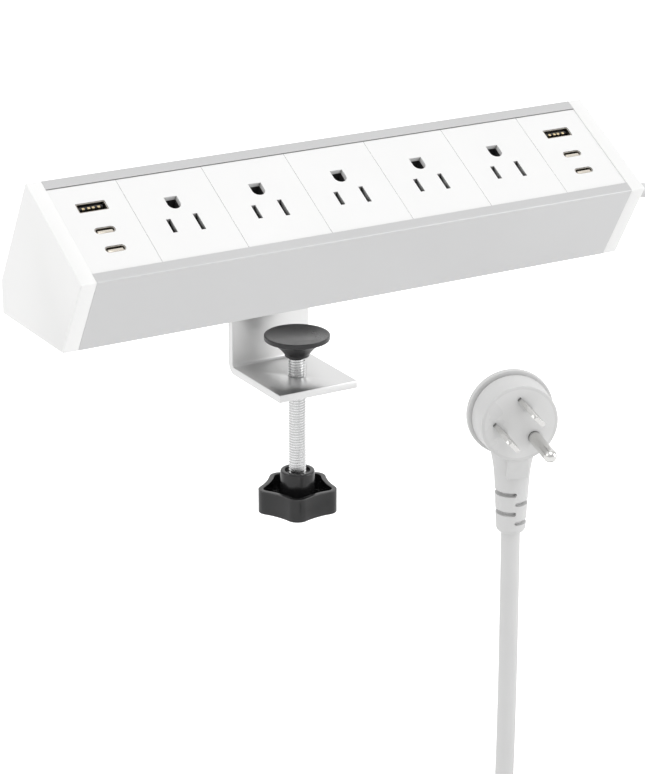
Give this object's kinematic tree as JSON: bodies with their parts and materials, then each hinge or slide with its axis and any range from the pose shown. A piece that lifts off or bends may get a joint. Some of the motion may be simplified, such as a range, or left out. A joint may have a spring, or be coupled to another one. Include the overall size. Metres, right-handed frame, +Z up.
{
  "type": "desk power strip",
  "caption": "Slanted desk-edge power strip with mains outlets and USB ports, a C-shaped screw clamp with a star knob, and a corded flat plug.",
  "frame": {"origin": "on the clamp screw axis, in the plane of the desk top that the flange and the feet rest on", "axes": "+X along the strip towards its cord, +Y towards the back of the clamp, +Z up"},
  "size_m": [0.3624, 0.3631, 0.2356],
  "materials": {
    "anodised_silver": "fine satin anodised extrusion",
    "white_caps": "fine matte moulded",
    "white_faces": "smooth satin moulded",
    "moulded_base": "dark moulded insulator",
    "rubber": "matte rubber",
    "brass": "stamped",
    "wire_insulation": "extruded insulation",
    "circuit_board": "coated laminate",
    "port_metal": "plated port sleeve",
    "port_tongue": "black moulded tongue",
    "transformer": "taped winding",
    "capacitor": "sleeved can",
    "tinned_lead": "tinned",
    "brushed_bracket": "satin brushed sheet",
    "zinc_steel": "bright zinc plated",
    "black_plastic": "glossy moulded",
    "cord_white": "soft matte sheath",
    "tie_black": "woven hook-and-loop band",
    "plug_core": "moulded",
    "nickel_blades": "nickel plated"
  },
  "bodies": {
    "strip": {"board_leads_left": "tinned_lead", "board_leads_right": "tinned_lead", "bracket_screws": "zinc_steel", "clamp_bracket": "brushed_bracket", "cord_coil": "cord_white", "cord_lead": "cord_white", "cord_relief": "cord_white", "cord_tie": "tie_black", "cord_upright": "cord_white", "ground_bus_bar": "brass", "ground_pin": "nickel_blades", "ground_wire": "wire_insulation", "housing_profile": "anodised_silver", "left_end_cap": "white_caps", "line_blade": "nickel_blades", "line_bus_bar": "brass", "line_wire": "wire_insulation", "neutral_blade": "nickel_blades", "neutral_bus_bar": "brass", "neutral_wire": "wire_insulation", "outlet_base_1": "moulded_base", "outlet_base_2": "moulded_base", "outlet_base_3": "moulded_base", "outlet_base_4": "moulded_base", "outlet_base_5": "moulded_base", "outlet_face_1": "white_faces", "outlet_face_2": "white_faces", "outlet_face_3": "white_faces", "outlet_face_4": "white_faces", "outlet_face_5": "white_faces", "plug_body": "cord_white", "plug_core": "plug_core", "right_end_cap": "white_caps", "rubber_feet": "rubber", "usb_a_shell_left": "port_metal", "usb_a_shell_right": "port_metal", "usb_a_tongue_left": "port_tongue", "usb_a_tongue_right": "port_tongue", "usb_board_left": "circuit_board", "usb_board_right": "circuit_board", "usb_c_shells_left": "port_metal", "usb_c_shells_right": "port_metal", "usb_c_tongues_left": "port_tongue", "usb_c_tongues_right": "port_tongue", "usb_capacitors_left": "capacitor", "usb_capacitors_right": "capacitor", "usb_face_left": "white_faces", "usb_face_right": "white_faces", "usb_transformer_left": "transformer", "usb_transformer_right": "transformer"},
    "pad": {"pressure_pad": "black_plastic"},
    "screw": {"clamp_screw": "zinc_steel", "clamp_knob": "black_plastic", "knob_insert": "brass"}
  },
  "joints": [
    {"name": "pad_travel", "type": "slide", "parent": "strip", "child": "pad", "axis": [0, 0, 1], "range_m": [-0.009, 0.0265]},
    {"name": "screw_turn", "type": "hinge", "parent": "pad", "child": "screw", "pos_m": [0, 0, -0.09], "axis": [0, 0, 1], "range_deg": [-2592.5, 7632.5]}
  ],
  "couplings": [
    {"joint": "screw_turn", "follows": "pad_travel", "rad_per_m": 5026.5}
  ]
}
